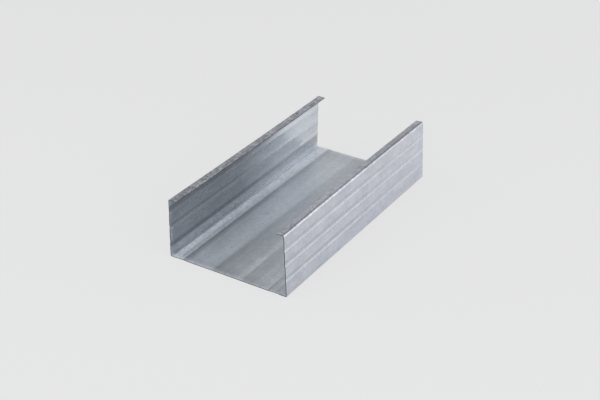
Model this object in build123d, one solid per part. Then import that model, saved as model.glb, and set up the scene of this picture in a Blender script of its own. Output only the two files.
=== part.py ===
from build123d import *
import math
import os

# Steel stud
#
# One strip of thin galvanised steel, roll-formed into a C: a web, two flanges, and a narrow lip
# along the free edge of each flange. One flange is a little shorter than the other, so that two
# studs turned to face each other close into a box. The section is the same all along the length.
# It is drawn as the line of the sheet's outer side, thickened inward and pushed out lengthwise.
#
# Millimetres. The web lies flat with its outer side at Z = 0. X runs across the web, from the
# short flange to the long one, Y runs along the stud, and Z runs up the flanges. The origin is
# the middle of the web's outer side, half way along.

# Overall sizes
WEB_WIDTH = 98.8
SHORT_FLANGE = 47.0
LONG_FLANGE = 48.6
SHORT_FLANGE_LIP = 6.6
LONG_FLANGE_LIP = 6.0
LENGTH = 200.0
SHEET = 0.6

# The four bends. Both flanges lean in over the web, and the lips stay square to the flanges.
BEND_RADIUS = 1.0
SHORT_FLANGE_TOE_IN = math.radians(1.0)
LONG_FLANGE_TOE_IN = math.radians(2.3)

# Stiffening grooves rolled into the flanges from outside, at about their quarter points
GROOVE_WIDTH = 5.0
GROOVE_DEPTH = 0.18
SHORT_FLANGE_GROOVES = (12.2, 24.0, 36.0)
LONG_FLANGE_GROOVES = (13.4, 25.3, 36.8)

# A stiffening bead near each side of the web, raised into the channel. Its sides are gentle
# slopes, the outer one longer than the inner, and its top is flat.
BEAD_INSET = 10.5
BEAD_TOP = 2.2
BEAD_OUTER_SLOPE = 6.0
BEAD_INNER_SLOPE = 4.4
BEAD_HEIGHT = 0.25

# The rolls round each of these creases to this radius, on the sheet's outer side
CREASE_RADIUS = 4.0


def flange_line(side, width, toe_in, lip, grooves):
    """The outer side of one flange, corner to free edge and on along its lip.

    side is +1 at the +X side of the web and -1 at the other. Distances are measured up the
    flange from the corner, and depths square to it, inward.
    """
    # Drawn without its bend, the corner stands past the web's width. The bend's widest point
    # then makes the overall width exactly the web's.
    half_corner = (math.pi / 2 - toe_in) / 2
    corner_x = WEB_WIDTH / 2 + BEND_RADIUS * (1 / math.tan(half_corner) - 1)
    corner = Vector(side * corner_x, 0)
    up = Vector(-side * math.sin(toe_in), math.cos(toe_in))
    inward = Vector(-side * math.cos(toe_in), -math.sin(toe_in))
    points = [corner]
    for height in grooves:
        points.append(corner + up * (height - GROOVE_WIDTH / 2))
        points.append(corner + up * height + inward * GROOVE_DEPTH)
        points.append(corner + up * (height + GROOVE_WIDTH / 2))
    free_edge = corner + up * width
    points.append(free_edge)
    points.append(free_edge + inward * lip)
    return points


def bead_line(side):
    """The outer side of one bead, from the flange's side of it to the web's middle."""
    centre = WEB_WIDTH / 2 - BEAD_INSET
    half_top = BEAD_TOP / 2
    return [
        Vector(side * (centre + half_top + BEAD_OUTER_SLOPE), 0),
        Vector(side * (centre + half_top), BEAD_HEIGHT),
        Vector(side * (centre - half_top), BEAD_HEIGHT),
        Vector(side * (centre - half_top - BEAD_INNER_SLOPE), 0),
    ]


short_side = flange_line(-1, SHORT_FLANGE, SHORT_FLANGE_TOE_IN, SHORT_FLANGE_LIP, SHORT_FLANGE_GROOVES)
long_side = flange_line(+1, LONG_FLANGE, LONG_FLANGE_TOE_IN, LONG_FLANGE_LIP, LONG_FLANGE_GROOVES)
outer_line = short_side[::-1] + bead_line(-1) + bead_line(+1)[::-1] + long_side

# Full bends at the two corners and the two free edges, gentle creases everywhere else
full_bends = (short_side[0], short_side[-2], long_side[0], long_side[-2])
radii = [BEND_RADIUS if point in full_bends else CREASE_RADIUS for point in outer_line[1:-1]]

with BuildPart() as stud:
    # Plane.XZ faces -Y, so its own X and Y are the stud's X and Z
    with BuildSketch(Plane.XZ):
        with BuildLine():
            FilletPolyline(*outer_line, radius=radii)
            offset(amount=SHEET, side=Side.LEFT, closed=True)
        make_face()
    extrude(amount=LENGTH / 2, both=True)

stud.part.label = "stud"

os.makedirs("parts", exist_ok=True)
export_step(stud.part, "parts/stud.step")
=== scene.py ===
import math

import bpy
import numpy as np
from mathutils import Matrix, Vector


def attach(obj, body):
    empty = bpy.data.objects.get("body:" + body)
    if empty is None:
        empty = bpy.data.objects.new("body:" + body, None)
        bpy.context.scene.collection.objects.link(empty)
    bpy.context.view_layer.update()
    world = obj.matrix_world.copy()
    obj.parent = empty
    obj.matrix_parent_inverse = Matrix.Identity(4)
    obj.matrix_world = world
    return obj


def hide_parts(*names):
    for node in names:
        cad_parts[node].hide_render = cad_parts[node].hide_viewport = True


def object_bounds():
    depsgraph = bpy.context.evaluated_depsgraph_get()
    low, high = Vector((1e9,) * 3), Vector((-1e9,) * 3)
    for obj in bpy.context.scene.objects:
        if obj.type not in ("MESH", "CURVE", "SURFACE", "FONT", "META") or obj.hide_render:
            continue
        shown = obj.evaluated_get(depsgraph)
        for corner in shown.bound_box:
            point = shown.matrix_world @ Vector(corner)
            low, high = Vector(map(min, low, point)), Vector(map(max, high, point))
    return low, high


# %% [markdown]
# # A steel stud, from its strip to its studio
#
# The object is a short piece of the C-shaped steel stud that stands inside a plasterboard wall. One
# strip of zinc-coated sheet, 0.6 mm thick, runs through pairs of rollers that press in a few shallow
# grooves and then fold up the sides. This file tells that story in the same order: the flat strip,
# the folded section, the zinc, and last the studio where it is looked at.
#
# First comes the frame: the same stud as a plain solid. Everything below is measured from it, so the
# detailed stud lies exactly where the solid does. Lengths are in metres.

# %% Load the solid stud and read its sizes
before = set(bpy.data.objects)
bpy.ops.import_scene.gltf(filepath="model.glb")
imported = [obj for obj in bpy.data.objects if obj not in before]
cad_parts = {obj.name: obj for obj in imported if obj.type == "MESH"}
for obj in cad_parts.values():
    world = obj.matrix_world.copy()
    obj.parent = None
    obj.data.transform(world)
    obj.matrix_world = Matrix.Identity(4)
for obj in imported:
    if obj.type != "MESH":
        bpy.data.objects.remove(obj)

MM = 0.001

cad_low, cad_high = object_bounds()
web_width = cad_high.x - cad_low.x
stud_length = cad_high.y - cad_low.y
print(f"the solid is {web_width / MM:.1f} mm wide and {stud_length / MM:.1f} mm long")

# %% [markdown]
# ## The line of the section
#
# Seen from its end, the stud is one thin line with four bends: lip, flange, web, flange, lip. It could
# be drawn by hand as a curve, but a fabricator works from a few numbers: how wide each stretch is, how
# far each bend turns, and how tight it is. So the line is worked out from those. The two flanges lean
# in a little over the web, and one is shorter than the other, so that two studs can close into a box.

# %% Name the sizes of the section
SHEET = 0.6 * MM
SHORT_FLANGE, SHORT_FLANGE_LIP = 47.0 * MM, 6.6 * MM
LONG_FLANGE, LONG_FLANGE_LIP = 48.6 * MM, 6.0 * MM
SHORT_FLANGE_TOE_IN = math.radians(1.0)
LONG_FLANGE_TOE_IN = math.radians(2.3)
BEND_RADIUS = 1.0 * MM


def flange_corners(side, width, toe_in, lip):
    """The corner, free edge and lip tip at one side of the web, in x and z."""
    half_corner = (math.pi / 2 - toe_in) / 2
    corner_x = web_width / 2 + BEND_RADIUS * (1 / math.tan(half_corner) - 1)
    up = np.array([-side * math.sin(toe_in), math.cos(toe_in)])
    inward = np.array([-side * math.cos(toe_in), -math.sin(toe_in)])
    corner = np.array([side * corner_x, 0.0])
    return [corner, corner + up * width, corner + up * width + inward * lip]


short_side = flange_corners(-1, SHORT_FLANGE, SHORT_FLANGE_TOE_IN, SHORT_FLANGE_LIP)
long_side = flange_corners(+1, LONG_FLANGE, LONG_FLANGE_TOE_IN, LONG_FLANGE_LIP)
section_corners = short_side[::-1] + long_side
print("the section turns at", [tuple(np.round(c / MM, 1)) for c in section_corners[1:-1]])

# %% [markdown]
# ## Stations along the line
#
# The line becomes a row of points. Straight stretches get a station every half millimetre, and each
# bend gets ten, which is fine enough for a highlight to run along them without a break. Every point
# also knows which way the sheet's inner side lies, because the rollers press in that direction.

# %% Walk along the section
STATION_STEP = 0.5 * MM
STEPS_PER_BEND = 10


def left_of(direction):
    """The direction square to this one, on its left, which is the sheet's inner side."""
    return np.array([-direction[1], direction[0]])


def walk_section(corners):
    """Points on the sheet's outer side, and at each the direction to its inner side."""
    points, inward = [], []
    here = corners[0]
    for before, corner, after in zip(corners, corners[1:], corners[2:]):
        into = (corner - before) / np.linalg.norm(corner - before)
        out = (after - corner) / np.linalg.norm(after - corner)
        turn = math.acos(np.clip(into @ out, -1, 1))
        trim = BEND_RADIUS * math.tan(turn / 2)
        run = np.linalg.norm(corner - into * trim - here)
        for t in np.linspace(0, 1, max(2, round(run / STATION_STEP)), endpoint=False):
            points.append(here + into * run * t)
            inward.append(left_of(into))
        centre = corner - into * trim + left_of(into) * BEND_RADIUS
        for t in np.linspace(0, 1, STEPS_PER_BEND, endpoint=False):
            n = left_of(into) * math.cos(turn * t) - into * math.sin(turn * t)
            points.append(centre - n * BEND_RADIUS)
            inward.append(n)
        here = corner + out * trim
    run = np.linalg.norm(corners[-1] - here)
    for t in np.linspace(0, 1, round(run / STATION_STEP)):
        points.append(here + out * run * t)
        inward.append(left_of(out))
    return np.array(points), np.array(inward)


section, inward = walk_section(section_corners)
print(len(section), "stations round the section")

# %% [markdown]
# ## Places on the flat strip
#
# A roller works at a place on the strip, not at a place in space. So every point of the section is also
# given its distance across the flat strip before folding, counted from the middle of the web. That
# number later places the grooves, the roll marks and the zinc's pattern, which all run straight round
# the bends.

# %% Measure across the strip
def places_on_strip(points):
    """How far across the flat strip each point was before folding, from the middle of the web."""
    steps = np.linalg.norm(np.diff(points, axis=0), axis=1)
    walked = np.concatenate([[0], np.cumsum(steps)])
    middle_of_web = walked[np.argmin(np.linalg.norm(points, axis=1))]
    return walked - middle_of_web


across = places_on_strip(section)
print(f"the strip is {(across[-1] - across[0]) / MM:.1f} mm wide along its outer side")

# %% [markdown]
# ## Grooves, beads and panels
#
# Three grooves stiffen each flange, and a bead stiffens each side of the web. All are pressed from the
# outside towards the inside, only about a fifth of a millimetre deep. A groove is a plain dip, and a
# bead has two gentle slopes with a flat top between them. Between the grooves the sheet isn't quite
# flat: each panel stands out by a few hundredths of a millimetre, and that is why the light runs from
# dark to bright across it. The relief is one function of the place on the strip, so it can be read as
# a list of what the rollers do.

# %% Shape the relief across the strip
GROOVE_WIDTH = 5.0 * MM
GROOVE_DEPTH = 0.18 * MM
SHORT_FLANGE_GROOVES = [12.2 * MM, 24.0 * MM, 36.0 * MM]
LONG_FLANGE_GROOVES = [13.4 * MM, 25.3 * MM, 36.8 * MM]
BEAD_INSET = 10.5 * MM
BEAD_TOP = 2.2 * MM
BEAD_OUTER_SLOPE = 6.0 * MM
BEAD_INNER_SLOPE = 4.4 * MM
BEAD_HEIGHT = 0.25 * MM
PANEL_BULGE = 0.025 * MM


def pressed_in(place, centre, width, depth):
    """A rounded groove, deepest at its centre and running out smoothly on both sides."""
    near = np.abs(place - centre) < width / 2
    return np.where(near, depth * np.cos(math.pi * (place - centre) / width) ** 2, 0)


def raised_bead(from_side):
    """The bead's profile, from the distance inward from the nearer side of the web."""
    outer_top, inner_top = BEAD_INSET - BEAD_TOP / 2, BEAD_INSET + BEAD_TOP / 2
    up = np.clip((from_side - outer_top + BEAD_OUTER_SLOPE) / BEAD_OUTER_SLOPE, 0, 1)
    down = np.clip((from_side - inner_top) / BEAD_INNER_SLOPE, 0, 1)
    return BEAD_HEIGHT * np.sin(math.pi / 2 * up) ** 2 * np.cos(math.pi / 2 * down) ** 2


def bulged_out(place, start, end, bulge):
    """A shallow arch between two grooves, standing out from the sheet."""
    t = np.clip((place - start) / (end - start), 0, 1)
    return -4 * bulge * t * (1 - t)


def flange_relief(up_flange, width, grooves):
    """Relief of one flange, from the height up it, positive towards the inside."""
    relief = sum(pressed_in(up_flange, g, GROOVE_WIDTH, GROOVE_DEPTH) for g in grooves)
    ends = [2 * BEND_RADIUS, *grooves, width - 2 * BEND_RADIUS]
    for start, end in zip(ends, ends[1:]):
        relief = relief + bulged_out(up_flange, start, end, PANEL_BULGE)
    return relief


half_web = web_width / 2
relief = flange_relief(-across - half_web, SHORT_FLANGE, SHORT_FLANGE_GROOVES)
relief = relief + flange_relief(across - half_web, LONG_FLANGE, LONG_FLANGE_GROOVES)
relief = relief + raised_bead(half_web - np.abs(across))
section = section + inward * relief[:, None]
print(f"the relief runs from {relief.min() / MM:.2f} to {relief.max() / MM:.2f} mm")

# %% [markdown]
# ## The sheet, as long as the stud
#
# The section is now pushed out along Y into a grid of faces. A plain extrusion would do, but cutting
# a rolled stud lets its two ends spring open: half way along, the flanges stand about half a
# millimetre further in than at the cuts. So the grid gets a row every few millimetres, and the
# flanges bow gently from row to row. The grid stops a hundredth of a millimetre short of the solid's
# ends, which keeps rounding errors from making the stud longer than it is.

# %% Lay out the sheet
ROWS = 45
MIDDLE_BOW = 0.5 * MM
END_GAP = 0.01 * MM
columns = len(section)


def sheet_points():
    """Every point of the sheet's outer side, row by row along the stud."""
    height = np.clip(section[:, 1] / LONG_FLANGE, 0, 1)
    side = np.sign(section[:, 0])
    rows = []
    for y in np.linspace(cad_low.y + END_GAP, cad_high.y - END_GAP, ROWS):
        bow = MIDDLE_BOW * (1 - (2 * y / stud_length) ** 2)
        x = section[:, 0] - side * height * bow
        rows.append(np.stack([x, np.full(len(x), y), section[:, 1]], axis=1))
    return np.concatenate(rows)


def grid_faces():
    """Four-sided faces between the rows and columns, facing the sheet's outer side."""
    faces = []
    for row in range(ROWS - 1):
        for column in range(columns - 1):
            a = row * columns + column
            faces.append((a, a + columns, a + columns + 1, a + 1))
    return faces


def place_object(name, data):
    """A new object in the scene, made of a mesh or a camera."""
    placed = bpy.data.objects.new(name, data)
    bpy.context.scene.collection.objects.link(placed)
    return placed


mesh = bpy.data.meshes.new("stud_sheet")
mesh.from_pydata(sheet_points().tolist(), [], grid_faces())
mesh.shade_smooth()
stud = place_object("stud_sheet", mesh)
print(len(mesh.polygons), "faces on the outer side")

# %% [markdown]
# The place on the strip goes into a UV map, in millimetres: U across the strip and V along it. It is
# the flat blank that the rollers were fed with, so a mark that follows U or V follows the steel. An
# automatic unwrap could do this too, but the strip is already known, so it is simply written down.

# %% Map the sheet back to its flat strip
strip_map = mesh.uv_layers.new(name="strip")
for loop in mesh.loops:
    column = loop.vertex_index % columns
    along = mesh.vertices[loop.vertex_index].co.y
    strip_map.uv[loop.index].vector = (across[column] / MM, along / MM)
print("strip map from", round(across[0] / MM, 1), "to", round(across[-1] / MM, 1), "mm")

# %% [markdown]
# The grid is only the sheet's outer side. The inner side could be drawn as a second grid, but the
# thickness would then vary wherever the two disagree. A Solidify modifier keeps it even: it copies the
# outer side inward and closes the rim. Each of the three surfaces gets its own material slot: 0 the
# outer side, 1 the inner side, 2 the cut edge. A Bevel then takes the sharpness off the cut edges.

# %% Give the sheet its thickness
INNER_SIDE, CUT_EDGE = 1, 2
EDGE_ROUNDING = 0.06 * MM
SHARPER_THAN = math.radians(50)

thickness = stud.modifiers.new("sheet thickness", "SOLIDIFY")
thickness.thickness = SHEET
thickness.offset = -1
thickness.use_even_offset = True
thickness.material_offset = INNER_SIDE
thickness.material_offset_rim = CUT_EDGE

worn_edge = stud.modifiers.new("worn edge", "BEVEL")
worn_edge.width = EDGE_ROUNDING
worn_edge.segments = 2
worn_edge.limit_method = "ANGLE"
worn_edge.angle_limit = SHARPER_THAN

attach(stud, "root")
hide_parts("stud")
print(f"the sheet is {thickness.thickness / MM:.1f} mm thick, its edges rounded by "
      f"{worn_edge.width / MM:.2f} mm")

# %% [markdown]
# ## Zinc
#
# The strip is dipped in molten zinc before it is rolled. Zinc sets in crystals a millimetre or two wide,
# each lying at its own small angle, so a fresh sheet looks mottled. The rollers then squeeze the crystals
# flat along their tracks and leave long fine streaks. Polished tracks mirror the studio, dark or bright,
# and matte zinc between them takes the average of all the light, which is why they stand out from each
# other. So one number runs through the whole finish: how dull the zinc is at each place.
#
# A photograph of zinc could be wrapped round the sheet instead, but it would carry its own light with
# it. Patterns worked out from the flat strip stay sharp at any distance and run round the bends as the
# real ones do. Each effect is a node group, built once and placed with its own values.
#
# Wiring nodes by hand takes many lines. A few helpers shorten each step to one line that can be read
# aloud: add a node, feed a socket, calculate, rescale, mix.

# %% Helpers for wiring nodes
def add_node(tree, kind, **settings):
    """A new node in a tree, with its settings made."""
    node = tree.nodes.new(kind)
    for name, value in settings.items():
        setattr(node, name, value)
    return node


def feed(tree, socket, value):
    """Give a socket a plain value, or the output of another node."""
    if isinstance(value, bpy.types.NodeSocket):
        tree.links.new(value, socket)
    else:
        socket.default_value = value


def calculate(tree, operation, *values):
    """One step of arithmetic, as a Math node's output."""
    node = add_node(tree, "ShaderNodeMath", operation=operation)
    for socket, value in zip(node.inputs, values):
        feed(tree, socket, value)
    return node.outputs[0]


def rescale(tree, value, low, high, to_low=0.0, to_high=1.0, kind="SMOOTHSTEP"):
    """Carry a value from one range to another, held at both ends."""
    node = add_node(tree, "ShaderNodeMapRange", interpolation_type=kind)
    for name, number in zip(("Value", "From Min", "From Max", "To Min", "To Max"),
                            (value, low, high, to_low, to_high)):
        feed(tree, node.inputs[name], number)
    return node.outputs[0]


def mix_colours(tree, amount, first, second):
    """A blend of two colours. A Mix node keeps its colours in sockets 6 and 7."""
    node = add_node(tree, "ShaderNodeMix", data_type="RGBA")
    for socket, value in ((0, amount), (6, first), (7, second)):
        feed(tree, node.inputs[socket], value)
    return node.outputs[2]


print("helpers for numbers and colours ready")

# %% [markdown]
# Places and directions are vectors, three numbers that travel together. They get helpers of their own.
# The last one measures the strip in cells, so that a pattern with cells one unit wide comes out at the
# size that is asked for.

# %% Helpers for vectors
def calculate_vector(tree, operation, *values):
    """One step of vector arithmetic, as a Vector Math node's output."""
    node = add_node(tree, "ShaderNodeVectorMath", operation=operation)
    for socket, value in zip(node.inputs, values):
        feed(tree, socket, value)
    return node.outputs[0]


def measure_vectors(tree, operation, first, second):
    """One number from two vectors, such as the distance between them."""
    node = add_node(tree, "ShaderNodeVectorMath", operation=operation)
    feed(tree, node.inputs[0], first)
    feed(tree, node.inputs[1], second)
    return node.outputs["Value"]


def scale_vector(tree, vector, factor):
    """A vector or a colour, made longer or brighter by a factor."""
    node = add_node(tree, "ShaderNodeVectorMath", operation="SCALE")
    feed(tree, node.inputs[0], vector)
    feed(tree, node.inputs["Scale"], factor)
    return node.outputs[0]


def split(tree, vector):
    """The X, Y and Z of a vector."""
    node = add_node(tree, "ShaderNodeSeparateXYZ")
    feed(tree, node.inputs[0], vector)
    return node.outputs


def in_cells(tree, strip, cell_across, cell_along):
    """A place on the strip, measured in cells instead of millimetres."""
    cell = add_node(tree, "ShaderNodeCombineXYZ")
    for axis, size in zip("XYZ", (cell_across, cell_along, 1)):
        feed(tree, cell.inputs[axis], size)
    return calculate_vector(tree, "DIVIDE", strip, cell.outputs[0])


print("helpers for vectors ready")

# %% [markdown]
# A node group is a small tree with named sockets, which can be placed in any material. One helper makes
# an empty group, and the other places a finished one.

# %% Helpers for node groups
FLOAT, VECTOR = "NodeSocketFloat", "NodeSocketVector"


def new_group(name, inputs, outputs):
    """An empty shader node group with named sockets, and its two end nodes."""
    tree = bpy.data.node_groups.new(name, "ShaderNodeTree")
    for socket_name, kind, default in inputs:
        socket = tree.interface.new_socket(socket_name, in_out="INPUT", socket_type=kind)
        if default is not None:
            socket.default_value = default
    for socket_name, kind in outputs:
        tree.interface.new_socket(socket_name, in_out="OUTPUT", socket_type=kind)
    return tree, add_node(tree, "NodeGroupInput").outputs, add_node(tree, "NodeGroupOutput").inputs


def place_group(tree, group, **values):
    """A node group placed in a material, with its own values."""
    node = add_node(tree, "ShaderNodeGroup", node_tree=group)
    for name, value in values.items():
        feed(tree, node.inputs[name], value)
    return node.outputs


print("helpers for groups ready")

# %% [markdown]
# ### Roll marks
#
# Grit on a roller, or a hard spot in the zinc, draws a streak along the strip. The streaks are far finer
# than the faces of the mesh, so they can't be modelled in it. The group is plain noise with its two
# directions scaled apart: fine across the strip, long along it.

# %% Group: roll marks
MARK_LOW, MARK_HIGH = 0.3, 0.7

roll_marks, given, result = new_group(
    "Roll marks",
    [("Strip", VECTOR, None), ("Spacing", FLOAT, 2.0), ("Run", FLOAT, 120.0), ("Seed", FLOAT, 0.0)],
    [("Mark", FLOAT)])
streaks = add_node(roll_marks, "ShaderNodeTexNoise", noise_dimensions="4D")
feed(roll_marks, streaks.inputs["Vector"],
     in_cells(roll_marks, given["Strip"], given["Spacing"], given["Run"]))
feed(roll_marks, streaks.inputs["W"], given["Seed"])
streaks.inputs["Scale"].default_value = 1
streaks.inputs["Detail"].default_value = 2
streaks.inputs["Roughness"].default_value = 0.55
feed(roll_marks, result["Mark"], rescale(roll_marks, streaks.outputs["Fac"], MARK_LOW, MARK_HIGH))
print(roll_marks.name, "has", len(roll_marks.nodes), "nodes")

# %% [markdown]
# ### Spangle
#
# Cut as facets in the mesh, the crystals would take hundreds of thousands of faces. So each cell of a
# Voronoi pattern stands for one of them. The group puts out the crystal's own tone and a normal that
# leans by its own small angle, so neighbouring crystals catch the light differently.

# %% Group: spangle
spangle, given, result = new_group(
    "Spangle",
    [("Strip", VECTOR, None), ("Crystal", FLOAT, 1.5), ("Lean", FLOAT, 0.05)],
    [("Tone", FLOAT), ("Normal", VECTOR)])
crystals = add_node(spangle, "ShaderNodeTexVoronoi", voronoi_dimensions="2D")
feed(spangle, crystals.inputs["Vector"],
     in_cells(spangle, given["Strip"], given["Crystal"], given["Crystal"]))
crystals.inputs["Scale"].default_value = 1
chance = add_node(spangle, "ShaderNodeSeparateColor")
feed(spangle, chance.inputs[0], crystals.outputs["Color"])
feed(spangle, result["Tone"], chance.outputs["Red"])
off_centre = calculate_vector(spangle, "SUBTRACT", crystals.outputs["Color"], (0.5, 0.5, 0.5))
surface = add_node(spangle, "ShaderNodeNewGeometry")
leaning = calculate_vector(spangle, "ADD", surface.outputs["Normal"],
                           scale_vector(spangle, off_centre, given["Lean"]))
feed(spangle, result["Normal"], calculate_vector(spangle, "NORMALIZE", leaning))
print(spangle.name, "has", len(spangle.nodes), "nodes")

# %% [markdown]
# ### Roller tracks
#
# A roller touches the strip along a band of its own. Bands could be painted on, but as numbers they stay
# straight and can be moved by a tenth of a millimetre. The group marks one such band with soft sides, by
# its centre and width in millimetres across the strip.

# %% Group: roller track
roller_track, given, result = new_group(
    "Roller track",
    [("Strip", VECTOR, None), ("Centre", FLOAT, 0.0), ("Width", FLOAT, 5.0), ("Softness", FLOAT, 1.0)],
    [("Mask", FLOAT)])
off_track = calculate(roller_track, "SUBTRACT", split(roller_track, given["Strip"])["X"], given["Centre"])
half_track = calculate(roller_track, "MULTIPLY", given["Width"], 0.5)
past_edge = calculate(roller_track, "SUBTRACT",
                      calculate(roller_track, "ABSOLUTE", off_track), half_track)
blurred = calculate(roller_track, "DIVIDE", past_edge, given["Softness"])
feed(roller_track, result["Mask"], rescale(roller_track, blurred, -0.5, 0.5, 1, 0))
print(roller_track.name, "has", len(roller_track.nodes), "nodes")

# %% [markdown]
# ### Specks
#
# A few dark dots of dross, oil and site dirt sit on any cut piece. The group scatters round dots, one at
# most in each square of its spacing, and most squares stay empty. A crystal pattern does this as well:
# the distance to each cell's own point makes a round dot, and the cell's chance colour says whether it
# is there at all.

# %% Group: specks
SOLID_TO, GONE_BY = 0.6, 1.2
EMPTY_SQUARES = 0.7

specks, given, result = new_group(
    "Specks",
    [("Strip", VECTOR, None), ("Spacing", FLOAT, 9.0), ("Radius", FLOAT, 0.35)],
    [("Mask", FLOAT)])
dots = add_node(specks, "ShaderNodeTexVoronoi", voronoi_dimensions="2D")
feed(specks, dots.inputs["Vector"],
     in_cells(specks, given["Strip"], given["Spacing"], given["Spacing"]))
dots.inputs["Scale"].default_value = 1
distance = calculate(specks, "MULTIPLY", dots.outputs["Distance"], given["Spacing"])
in_radii = calculate(specks, "DIVIDE", distance, given["Radius"])
round_dot = rescale(specks, in_radii, SOLID_TO, GONE_BY, 1, 0)
chance = add_node(specks, "ShaderNodeSeparateColor")
feed(specks, chance.inputs[0], dots.outputs["Color"])
kept = calculate(specks, "GREATER_THAN", chance.outputs["Green"], EMPTY_SQUARES)
feed(specks, result["Mask"], calculate(specks, "MULTIPLY", round_dot, kept))
print(specks.name, "has", len(specks.nodes), "nodes")

# %% [markdown]
# ### How the tracks change the zinc
#
# Both sides of the sheet are the same zinc, but the rollers left different tracks on them. A track is
# five numbers: its centre and width in millimetres across the strip, how much duller the zinc is there
# (below nought it is shinier), by what part its shade is lighter (below nought it is darker), and how
# much grainier its crystals look. The lighter and darker shades hold painted light and painted shade
# as well as the zinc's own tone. Each side has two lists. The tracks of one run evenly all along the
# stud, and those of the other fade out towards its far end: they are mostly painted light and shade,
# which follow how the light changes along the stud.

# %% Lay the tracks
SOFTEST_EDGE = 3.0
SOFT_PART = 0.8
FADES_FROM, FADED_BY, LEFT_OF_FADED = -20, 60, 0.25


def lay_tracks(tree, strip, tracks, finish, strength=None):
    """The dullness, shade and grain of the zinc, after one list of tracks has changed them; the shade
    takes in painted light and shade.
    """
    for centre, width, *changes in tracks:
        mask = place_group(tree, roller_track, Strip=strip, Centre=centre, Width=width,
                           Softness=min(width, SOFTEST_EDGE) * SOFT_PART)["Mask"]
        if strength is not None:
            mask = calculate(tree, "MULTIPLY", mask, strength)
        finish = [calculate(tree, "MULTIPLY_ADD", mask, change, so_far)
                  for change, so_far in zip(changes, finish)]
    return finish


def towards_far_end(tree, along):
    """What is left of a fading track of painted light and shade, from its full strength near the camera.
    """
    return rescale(tree, along, FADES_FROM, FADED_BY, 1, LEFT_OF_FADED)


print("a fading track keeps", LEFT_OF_FADED, "of itself from", FADED_BY, "mm on")

# %% [markdown]
# The shade drifts slightly from the near end to the far one, and the last centimetre or two before each
# cut are a little darker. Both come from the photograph: the drift is painted light, and the darker ends
# are painted shade.

# %% Shade the zinc along the strip
strip_end = round(stud_length / 2 / MM)
NEAR_END_RUN, FAR_END_RUN = 14, 25


def shade_ends(tree, along, tone_and_painted_light, near_end, far_end):
    """The shade, darkened to a part of itself at the near end and at the far end, as painted shade."""
    near = rescale(tree, along, -strip_end, -strip_end + NEAR_END_RUN, near_end, 1)
    far = rescale(tree, along, strip_end - FAR_END_RUN, strip_end, 1, far_end)
    return calculate(tree, "MULTIPLY", calculate(tree, "MULTIPLY", tone_and_painted_light, near), far)


print("the strip runs from", -strip_end, "to", strip_end, "mm")

# %% [markdown]
# ### The colour of the zinc
#
# Zinc is a cool grey that swings between a darker and a lighter tone, from crystal to crystal, from
# streak to streak and from cloud to cloud. The shade then scales the mixed colour; it holds painted
# light and painted shade as well as the zinc's own tone. The specks of dirt lie on top.

# %% Colour the zinc
CRYSTAL_TONE, STREAK_TONE = 0.22, 0.3
DIRT = (0.10, 0.10, 0.11, 1)
DIRT_COVER = 0.7


def about_nought(tree, mark):
    """A mark that runs from 0 to 1, moved to swing about nought."""
    return calculate(tree, "SUBTRACT", mark, 0.5)


def zinc_colour(tree, tones, crystal, streak, cloud, cloudiness, tone_and_painted_light, dirt):
    """The colour of the skin at each place, between its darker and its lighter tone, scaled by a shade
    that holds painted light.
    """
    light = calculate(tree, "MULTIPLY_ADD", crystal, CRYSTAL_TONE, 0.5)
    light = calculate(tree, "MULTIPLY_ADD", about_nought(tree, streak), STREAK_TONE, light)
    light = calculate(tree, "MULTIPLY_ADD", about_nought(tree, cloud), cloudiness, light)
    clean = scale_vector(tree, mix_colours(tree, light, *tones), tone_and_painted_light)
    return mix_colours(tree, calculate(tree, "MULTIPLY", dirt, DIRT_COVER), clean, DIRT)


print("dirt covers", DIRT_COVER, "of the zinc under it")

# %% [markdown]
# ### What the rollers leave
#
# Dullness starts even all over the strip. The tracks change it first, and then the marks: wide faint
# ones, fine streaks, and short blurred clouds. Each kind is the same group of roll marks, placed with its
# own spacing across the strip and its own run along it, in millimetres.

# %% Roll the zinc
DULLNESS, GRAIN = 0.34, 0.045
WIDE_MARKS = {"Spacing": 5.0, "Run": 260.0}
FINE_MARKS = {"Spacing": 1.3, "Run": 150.0}
CLOUDS = {"Spacing": 9.0, "Run": 16.0}
WIDE_DULLER, FINE_DULLER, CLOUD_DULLER = 0.08, 0.06, 0.25


def roll_the_zinc(tree, strip, along, tracks, fading_tracks_and_painted_light, painted_light_far, cloudiness, seed):
    """The zinc's dullness, its shade with painted light and shade in it, its grain, and the fine streaks
    and clouds that run through it.
    """
    wide = place_group(tree, roll_marks, Strip=strip, Seed=seed, **WIDE_MARKS)["Mark"]
    streak = place_group(tree, roll_marks, Strip=strip, Seed=seed + 3, **FINE_MARKS)["Mark"]
    cloud = place_group(tree, roll_marks, Strip=strip, Seed=seed + 7, **CLOUDS)["Mark"]

    # Painted light: the shade changes evenly from the near end to the far end
    painted_light_drift = calculate(tree, "MULTIPLY_ADD", along, painted_light_far / strip_end, 1.0)
    finish = lay_tracks(tree, strip, tracks, (DULLNESS, painted_light_drift, GRAIN))
    # Fading tracks: painted light and shade, strongest near the camera
    finish = lay_tracks(tree, strip, fading_tracks_and_painted_light, finish, towards_far_end(tree, along))
    dull, tone_and_painted_light, grain = finish
    for mark, duller in ((wide, WIDE_DULLER), (streak, FINE_DULLER),
                         (cloud, CLOUD_DULLER * cloudiness)):
        dull = calculate(tree, "MULTIPLY_ADD", about_nought(tree, mark), duller, dull)
    return rescale(tree, dull, 0, 1, kind="LINEAR"), tone_and_painted_light, grain, streak, cloud


print("zinc is", DULLNESS, "dull where no track or mark changes it")

# %% [markdown]
# ### How the zinc reflects
#
# The rollers' fine scratches all run along the strip, and such metal draws a reflection out across them,
# as a brushed pan does. The Principled shader does that with its Anisotropic value, once it knows which
# way the strip runs. A bump gives the streaks a little depth, on top of the leaning crystals.

# %% Scratch the zinc
DRAWN_OUT = 0.7
STREAK_DEPTH = 0.02 * MM
STREAK_STRENGTH = 0.3


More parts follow.
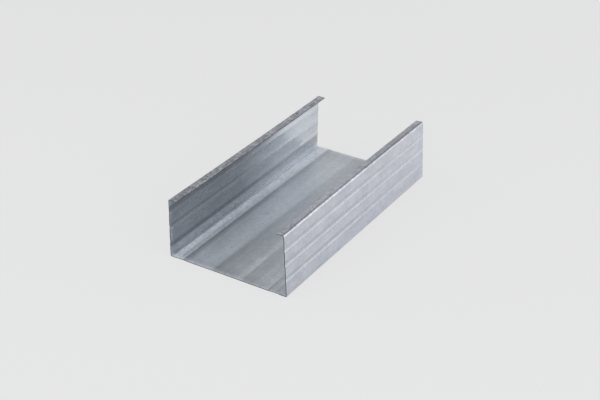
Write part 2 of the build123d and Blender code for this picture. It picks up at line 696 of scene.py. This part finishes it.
def scratch(tree, skin, streak, normals):
    """Draw the reflections out across the strip, and press the streaks into the crystals."""
    skin.inputs["Anisotropic"].default_value = DRAWN_OUT
    strip_direction = add_node(tree, "ShaderNodeTangent", direction_type="UV_MAP", uv_map="strip")
    feed(tree, skin.inputs["Tangent"], strip_direction.outputs[0])
    average = calculate_vector(tree, "ADD", *normals)
    pressed = add_node(tree, "ShaderNodeBump")
    pressed.inputs["Distance"].default_value = STREAK_DEPTH
    pressed.inputs["Strength"].default_value = STREAK_STRENGTH
    feed(tree, pressed.inputs["Height"], streak)
    feed(tree, pressed.inputs["Normal"], calculate_vector(tree, "NORMALIZE", average))
    feed(tree, skin.inputs["Normal"], pressed.outputs["Normal"])


print(f"streaks are at most {STREAK_DEPTH / MM:.2f} mm deep")

# %% [markdown]
# ### The skin
#
# Now the parts come together in one material. Dull zinc is rougher, its crystals lean further apart, and
# a thin grey film of zinc salts makes it a little less like bare metal. Two sizes of crystal lie over
# each other, because the rollers break some of the large ones up.

# %% Mix the skin
LEAST_LEAN, CRYSTAL_LEAN = 0.01, 0.10
COARSE_CRYSTAL, SMALL_CRYSTAL = 1.9, 0.8
SPECK_SPACING, SPECK_RADIUS = 13.0, 0.4
SHINY_ROUGHNESS, DULL_ROUGHNESS, DIRT_ROUGHER = 0.17, 0.58, 0.2
FILM = 0.35


def new_material(name):
    """A material made of nodes, and its tree."""
    material = bpy.data.materials.new(name)
    material.use_nodes = True
    return material, material.node_tree


def zinc_skin(name, tones, tracks, fading_tracks_and_painted_light, painted_light_far, near_end, far_end, cloudiness, seed):
    """A zinc-coated side of the sheet, with its own tones, roller tracks and painted light and shade."""
    material, tree = new_material(name)
    skin = tree.nodes["Principled BSDF"]
    strip = add_node(tree, "ShaderNodeUVMap", uv_map="strip").outputs[0]
    along = split(tree, strip)["Y"]
    dull, tone_and_painted_light, grain, streak, cloud = roll_the_zinc(
        tree, strip, along, tracks, fading_tracks_and_painted_light, painted_light_far, cloudiness, seed)

    lean = calculate(tree, "MULTIPLY_ADD", dull, CRYSTAL_LEAN, LEAST_LEAN)
    coarse = place_group(tree, spangle, Strip=strip, Crystal=COARSE_CRYSTAL, Lean=lean)
    small = place_group(tree, spangle, Strip=strip, Crystal=SMALL_CRYSTAL, Lean=lean)
    crystal = calculate(tree, "SUBTRACT", calculate(tree, "ADD", coarse["Tone"], small["Tone"]), 1.0)
    tone_and_painted_light = calculate(tree, "MULTIPLY", tone_and_painted_light, calculate(tree, "MULTIPLY_ADD", crystal, grain, 1.0))
    # Painted shade: darker in the last centimetres before each cut
    tone_and_painted_light = shade_ends(tree, along, tone_and_painted_light, near_end, far_end)

    dirt = place_group(tree, specks, Strip=strip, Spacing=SPECK_SPACING, Radius=SPECK_RADIUS)["Mask"]
    colour = zinc_colour(tree, tones, crystal, streak, cloud, cloudiness, tone_and_painted_light, dirt)
    roughness = rescale(tree, dull, 0, 1, SHINY_ROUGHNESS, DULL_ROUGHNESS, "LINEAR")
    roughness = calculate(tree, "MULTIPLY_ADD", dirt, DIRT_ROUGHER, roughness)
    feed(tree, skin.inputs["Base Color"], colour)
    feed(tree, skin.inputs["Roughness"], roughness)
    feed(tree, skin.inputs["Metallic"], calculate(tree, "MULTIPLY_ADD", dull, -FILM, 1.0))
    scratch(tree, skin, streak, (coarse["Normal"], small["Normal"]))
    return material


print("zinc runs from roughness", SHINY_ROUGHNESS, "where it shines to", DULL_ROUGHNESS)

# %% [markdown]
# ### The outer side
#
# The outer side faced the lower rollers. Each bend between a flange and its lip catches the light in a
# bright line, made stronger by a painted highlight, and the long flange's bend has painted shade on its
# lip side. Each groove has a bright line below its middle and a dark one above it, partly from its own
# slopes and partly painted highlight and painted shade. The lips stay dull and mottled, because nothing
# presses on them, and they are darker, partly in their own tone and partly as painted shade.
#
# How light or dull each track is was settled against the photograph. So the tracks hold some of
# the photograph's light as well as the metal's own tone.

# %% The outer side of the sheet
OUTER_TONES = ((0.52, 0.54, 0.59, 1), (0.655, 0.665, 0.72, 1))
short_lip = -(half_web + SHORT_FLANGE + SHORT_FLANGE_LIP / 2) / MM
long_lip = (half_web + LONG_FLANGE + LONG_FLANGE_LIP / 2) / MM
LIP_TRACK = 9.0
# Where the painted highlight and the painted shade lie, below and above each groove's middle
PAINTED_HIGHLIGHT_BELOW, PAINTED_SHADE_ABOVE = 1.3, 1.5

# Centre, width, duller, lighter, grainier
OUTER_TRACKS_AND_PAINTED_LIGHT = [
    # The lips: duller and grainier, and darker partly in their own tone and partly as painted shade
    (short_lip, LIP_TRACK, 0.35, -0.39, 0.55),
    (long_lip, LIP_TRACK, 0.35, -0.45, 0.20),
    # Painted highlights along the bends from flange to lip, and painted shade on the long lip's side of
    # its bend
    (96.8, 1.4, 0.0, 0.48, 0.0),
    (-95.2, 1.4, 0.0, 0.48, 0.0),
    (98.3, 1.2, 0.0, -0.30, 0.0)]
OUTER_FADING_PAINTED_LIGHT = [
    # Painted light on the lips, strongest near the camera
    (short_lip, LIP_TRACK, 0.0, 0.06, 0.0),
    (long_lip, LIP_TRACK, 0.0, 0.30, 0.0)]
for side, grooves in ((-1, SHORT_FLANGE_GROOVES), (1, LONG_FLANGE_GROOVES)):
    for groove in grooves:
        from_middle = (half_web + groove) / MM
        painted_highlight_line, painted_shade_line = side * (from_middle - PAINTED_HIGHLIGHT_BELOW), side * (from_middle + PAINTED_SHADE_ABOVE)
        # A painted highlight below each groove's middle and painted shade above it
        OUTER_TRACKS_AND_PAINTED_LIGHT.append((painted_highlight_line, 0.9, -0.08, 0.12, 0.0))
        OUTER_FADING_PAINTED_LIGHT.append((painted_highlight_line, 0.9, 0.0, 0.14, 0.0))
        OUTER_FADING_PAINTED_LIGHT.append((painted_shade_line, 1.8, 0.05, -0.14, 0.0))

mesh.materials.append(zinc_skin(
    "zinc_outer", OUTER_TONES, OUTER_TRACKS_AND_PAINTED_LIGHT, OUTER_FADING_PAINTED_LIGHT,
    painted_light_far=0.05, near_end=0.96, far_end=1.0, cloudiness=0.5, seed=11.0))
print("zinc_outer has", len(OUTER_TRACKS_AND_PAINTED_LIGHT) + len(OUTER_FADING_PAINTED_LIGHT), "tracks")

# %% [markdown]
# ### The inner side
#
# The inner side faced the upper rollers. The web keeps a dull strip beside each corner, where only the
# bending rollers touched it, a few soft duller bands in between, and thin polished lines where the
# rollers' own edges ran. Its lighter and darker values are partly painted reflections of the flanges
# and the tent. The short flange is shinier; its inner corner has a painted highlight, and its bands
# between the grooves are painted reflections and painted shade.

# %% The inner side of the sheet
INNER_TONES = ((0.515, 0.55, 0.59, 1), (0.645, 0.67, 0.715, 1))

# Centre, width, duller, lighter, grainier
INNER_TRACKS_AND_PAINTED_LIGHT = [
    # Web, from the short flange's side
    # On the web the lighter and darker values are partly painted reflections
    (-44.6, 5.6, 0.62, 0.46, 0.10),
    (-39.9, 3.4, 0.20, 0.42, 0.05),
    (-35.9, 4.0, 0.0, -0.08, 0.0),
    (-30.4, 12.0, 0.08, -0.03, 0.0),
    (-27.0, 31.0, 0.02, 0.10, 0.0),
    (-18.5, 11.0, 0.12, 0.06, 0.0),
    (-8.5, 6.0, 0.0, 0.04, 0.0),
    (0.0, 11.0, 0.04, -0.04, 0.0),
    (8.8, 5.0, 0.36, 0.04, 0.03),
    (15.6, 9.0, 0.04, -0.06, 0.0),
    (28.0, 11.0, 0.30, -0.04, 0.03),
    (31.0, 5.0, 0.06, 0.12, 0.0),
    (37.6, 4.0, 0.10, 0.14, 0.0),
    (44.8, 6.0, 0.27, 0.00, 0.03),
    # Polished lines on the web
    (-41.0, 0.6, -0.30, 0.0, 0.0),
    (34.6, 0.6, -0.35, 0.0, 0.0),
    (40.8, 0.6, -0.30, 0.0, 0.0),
    # Short flange: all of it, then its corner, then from the corner up
    (-70.2, 41.0, -0.13, 0.42, 0.0),
    # A painted highlight along the short flange's inner corner
    (-49.2, 0.7, 0.0, 0.90, 0.0),
    (-51.4, 3.0, 0.0, 0.22, 0.0),
    # Bands up the short flange: painted reflections and painted shade
    (-57.4, 8.5, 0.0, -0.35, 0.03),
    (-63.2, 4.0, 0.0, 0.12, 0.0),
    (-70.9, 4.0, 0.0, -0.12, 0.0),
    (-75.0, 4.0, 0.0, 0.10, 0.0),
    (-82.9, 4.0, 0.0, -0.06, 0.0),
    (-88.6, 6.0, 0.0, 0.12, 0.0)]
INNER_FADING_PAINTED_LIGHT = [
    # Painted reflections and shade, strongest near the camera
    (-70.2, 41.0, 0.0, -0.60, 0.0),
    (-89.0, 5.5, 0.0, -0.30, 0.0),
    (-61.4, 18.0, 0.0, -0.06, 0.0),
    (-58.9, 4.4, 0.0, -0.38, 0.0),
    (-75.0, 2.5, 0.0, -0.22, 0.0),
    (-49.2, 0.7, 0.0, -0.80, 0.0),
    (-51.4, 3.0, 0.0, -0.18, 0.0),
    (-44.6, 5.6, 0.0, -0.12, 0.0),
    (-39.9, 3.4, 0.0, -0.07, 0.0),
    (-35.9, 4.0, 0.0, -0.18, 0.0),
    (-30.4, 12.0, 0.0, 0.16, 0.0),
    (-21.4, 5.0, 0.0, 0.08, 0.0),
    (-8.5, 6.0, 0.0, -0.10, 0.0),
    (-57.4, 8.5, 0.0, 0.42, 0.0),
    (-70.9, 4.0, 0.0, 0.16, 0.0),
    (-63.2, 4.0, 0.0, -0.10, 0.0)]

mesh.materials.append(zinc_skin(
    "zinc_inner", INNER_TONES, INNER_TRACKS_AND_PAINTED_LIGHT, INNER_FADING_PAINTED_LIGHT,
    painted_light_far=-0.06, near_end=0.88, far_end=0.90, cloudiness=0.25, seed=31.0))
print("zinc_inner has", len(INNER_TRACKS_AND_PAINTED_LIGHT) + len(INNER_FADING_PAINTED_LIGHT), "tracks")

# %% [markdown]
# ### The cut edge
#
# A saw cuts the piece to length and leaves a dark, torn face of bare steel 0.6 mm wide, burnt unevenly:
# fine noise is the tearing, and broad noise leaves some stretches paler. Its near-black is partly the
# steel's own colour and partly painted shade, for a thin edge that lies in shadow. The long rim of the
# lips has the same bare steel, slit and then dulled by the weather. One colour would make the edge look
# like a drawn outline.

# %% The cut edge
# Near-black, partly the bare steel's own colour and partly painted shade on the thin edge
BARE_DARK_AND_PAINTED_SHADE = (0.02, 0.02, 0.023, 1)
BARE_LIGHT = (0.20, 0.20, 0.22, 1)
BARE_METALLIC = 0.7
TORN_LIGHT, UNBURNT_LIGHT = 0.5, 0.8
SMOOTH_STEEL, TORN_STEEL = 0.45, 0.7
TEAR_DEPTH = 0.04 * MM


def add_noise(tree, where, scale, detail):
    """Plain noise at a place, from 0 to 1."""
    node = add_node(tree, "ShaderNodeTexNoise")
    feed(tree, node.inputs["Vector"], where)
    node.inputs["Scale"].default_value = scale
    node.inputs["Detail"].default_value = detail
    return node.outputs["Fac"]


cut, tree = new_material("cut_edge")
bare = tree.nodes["Principled BSDF"]
place_in_space = add_node(tree, "ShaderNodeTexCoord").outputs["Object"]
tearing = add_noise(tree, place_in_space, scale=900, detail=3)
burning = add_noise(tree, place_in_space, scale=55, detail=1)
torn_light = rescale(tree, tearing, 0.4, 0.75, 0, TORN_LIGHT)
unburnt = rescale(tree, burning, 0.5, 0.7, 0, UNBURNT_LIGHT)
feed(tree, bare.inputs["Base Color"],
     mix_colours(tree, calculate(tree, "ADD", torn_light, unburnt), BARE_DARK_AND_PAINTED_SHADE, BARE_LIGHT))
bare.inputs["Metallic"].default_value = BARE_METALLIC
feed(tree, bare.inputs["Roughness"], rescale(tree, tearing, 0.3, 0.7, SMOOTH_STEEL, TORN_STEEL))
torn = add_node(tree, "ShaderNodeBump")
torn.inputs["Distance"].default_value = TEAR_DEPTH
feed(tree, torn.inputs["Height"], tearing)
feed(tree, bare.inputs["Normal"], torn.outputs["Normal"])
mesh.materials.append(cut)
print(len(mesh.materials), "materials on the stud")

# %% [markdown]
# ## The studio
#
# Bright metal looks like what stands round it, so the studio matters as much as the zinc. The stud lies
# on a pale table in a light tent: a box of white cloth, lit from outside. The floor comes first. To the
# camera most of its paleness is its own, so the table looks the same all over, and a part of it is lit,
# so that it keeps a soft shadow of the stud. In the zinc's reflections all of it is lit.

# %% Floor
FLOOR_HALF = 6.0
FLOOR_DROP = 0.1 * MM
PALE = 0.775
OWN_PALENESS = 0.85

floor_mesh = bpy.data.meshes.new("floor")
floor_mesh.from_pydata([(-FLOOR_HALF, -FLOOR_HALF, 0), (FLOOR_HALF, -FLOOR_HALF, 0),
                        (FLOOR_HALF, FLOOR_HALF, 0), (-FLOOR_HALF, FLOOR_HALF, 0)],
                       [], [(0, 1, 2, 3)])
floor = place_object("floor", floor_mesh)
floor.location.z = -FLOOR_DROP

paper, tree = new_material("pale_table")
table = tree.nodes["Principled BSDF"]
seen = add_node(tree, "ShaderNodeLightPath").outputs["Is Camera Ray"]
own = calculate(tree, "MULTIPLY", seen, OWN_PALENESS)
lit = calculate(tree, "MULTIPLY_ADD", own, -PALE, PALE)
grey = add_node(tree, "ShaderNodeCombineColor")
for socket in grey.inputs:
    feed(tree, socket, lit)
feed(tree, table.inputs["Base Color"], grey.outputs[0])
table.inputs["Roughness"].default_value = 1
table.inputs["Specular IOR Level"].default_value = 0
table.inputs["Emission Color"].default_value = (PALE, PALE, PALE, 1)
feed(tree, table.inputs["Emission Strength"], own)
floor_mesh.materials.append(paper)
print("floor level", PALE, "of which", OWN_PALENESS, "is its own")

# %% [markdown]
# ### The light tent
#
# The tent is a box round the stud, 1.5 m square and 0.9 m high. It could be a sky, but a sky is far away
# and lights both ends of the stud alike, while a tent near the stud lights its far end a little
# differently. The cloth is hidden from the camera, so any view from outside looks straight through it.

# %% Put up the tent
TENT_HALF = 0.75
TENT_HEIGHT = 0.9

w, h = TENT_HALF, TENT_HEIGHT
tent_mesh = bpy.data.meshes.new("light_tent")
tent_mesh.from_pydata([(-w, -w, 0), (w, -w, 0), (w, w, 0), (-w, w, 0),
                       (-w, -w, h), (w, -w, h), (w, w, h), (-w, w, h)], [],
                      [(0, 1, 5, 4), (1, 2, 6, 5), (2, 3, 7, 6), (3, 0, 4, 7), (4, 5, 6, 7)])
tent = place_object("light_tent", tent_mesh)
tent.visible_camera = False
print("tent", 2 * TENT_HALF, "m square and", TENT_HEIGHT, "m high")

# %% [markdown]
# The cloth is bright in front, at the sides and overhead, and a little brighter low down than high up.
# It dims towards the back on the left, and it is open high up at the back on the right, where the dark
# room shows. The web and the lips mirror the dim cloth, and the inside of the short flange mirrors the
# opening, and that is what makes them darker than the flange at the right. Both were found by trying,
# from what the metal shows.

# %% Light the cloth
CLOTH_WHITE = (0.985, 1.0, 1.01, 1)
CLOTH_AT_TABLE, CLOTH_FALL = 1.62, -0.39
DIM_AZIMUTH = math.radians(-43)
DIM_SIDE = Vector((math.sin(DIM_AZIMUTH), math.cos(DIM_AZIMUTH), 0))
LIGHT_LOST, LOST_WITHIN = 0.95, 0.9
OPENING = Vector((0.50, 0.75, 0.66))
OPENING_REACH = 0.22
OPENING_DARK = 1.5
ROOM_LIGHT = 0.03

cloth, tree = new_material("tent_cloth")
tree.nodes.remove(tree.nodes["Principled BSDF"])
spot = add_node(tree, "ShaderNodeTexCoord").outputs["Object"]
level = calculate(tree, "MULTIPLY_ADD", split(tree, spot)["Z"], CLOTH_FALL, CLOTH_AT_TABLE)
towards_dim = calculate(tree, "MAXIMUM", measure_vectors(tree, "DOT_PRODUCT", spot, DIM_SIDE), 0)
level = calculate(tree, "MULTIPLY_ADD", towards_dim, -LIGHT_LOST / LOST_WITHIN, level)
apart = calculate(tree, "DIVIDE", measure_vectors(tree, "DISTANCE", spot, OPENING), OPENING_REACH)
apart_squared = calculate(tree, "MULTIPLY", apart, apart)
bell = calculate(tree, "EXPONENT", calculate(tree, "MULTIPLY", apart_squared, -0.5))
level = calculate(tree, "MULTIPLY_ADD", bell, -OPENING_DARK, level)
glow = add_node(tree, "ShaderNodeEmission")
glow.inputs["Color"].default_value = CLOTH_WHITE
feed(tree, glow.inputs["Strength"], calculate(tree, "MAXIMUM", level, ROOM_LIGHT))
feed(tree, tree.nodes["Material Output"].inputs["Surface"], glow.outputs[0])
tent_mesh.materials.append(cloth)
print("cloth level", CLOTH_AT_TABLE, "at the table")

# %% [markdown]
# ### The world outside
#
# Outside the tent there is only an even pale world. It keeps the table lit beyond the cloth, and fills
# the background of low views with the table's own tone.

# %% World
world = bpy.data.worlds.new("studio")
bpy.context.scene.world = world
world.use_nodes = True
tree = world.node_tree
backdrop = tree.nodes["Background"]
backdrop.inputs["Color"].default_value = (1, 1, 1, 1)
seen = add_node(tree, "ShaderNodeLightPath").outputs["Is Camera Ray"]
feed(tree, backdrop.inputs["Strength"], rescale(tree, seen, 0, 1, 1, PALE, "LINEAR"))
print("world ready")

# %% [markdown]
# ## The camera
#
# The camera looks down over the stud's near right corner, as the photograph does. Its place is given the
# way a photographer would say it: from which side, how high, how far away, and what it is pointed at.

# %% Camera
VIEW_AZIMUTH = math.radians(32.2)
VIEW_ELEVATION = math.radians(29.98)
VIEW_DISTANCE = 976.1 * MM
VIEW_TARGET = Vector((-13.72, 17.25, 0)) * MM
SENSOR_WIDTH = 36
FOCAL_LENGTH = 75.88

camera_data = bpy.data.cameras.new("camera")
camera_data.sensor_width = SENSOR_WIDTH
camera_data.lens = FOCAL_LENGTH
camera = place_object("camera", camera_data)
level_reach = math.cos(VIEW_ELEVATION)
back = Vector((math.sin(VIEW_AZIMUTH) * level_reach, -math.cos(VIEW_AZIMUTH) * level_reach,
               math.sin(VIEW_ELEVATION)))
camera.location = VIEW_TARGET + back * VIEW_DISTANCE
camera.rotation_euler = (-back).to_track_quat("-Z", "Y").to_euler()
bpy.context.scene.camera = camera
bpy.context.scene.view_settings.view_transform = "Standard"
print("camera at", [round(v, 3) for v in camera.location])
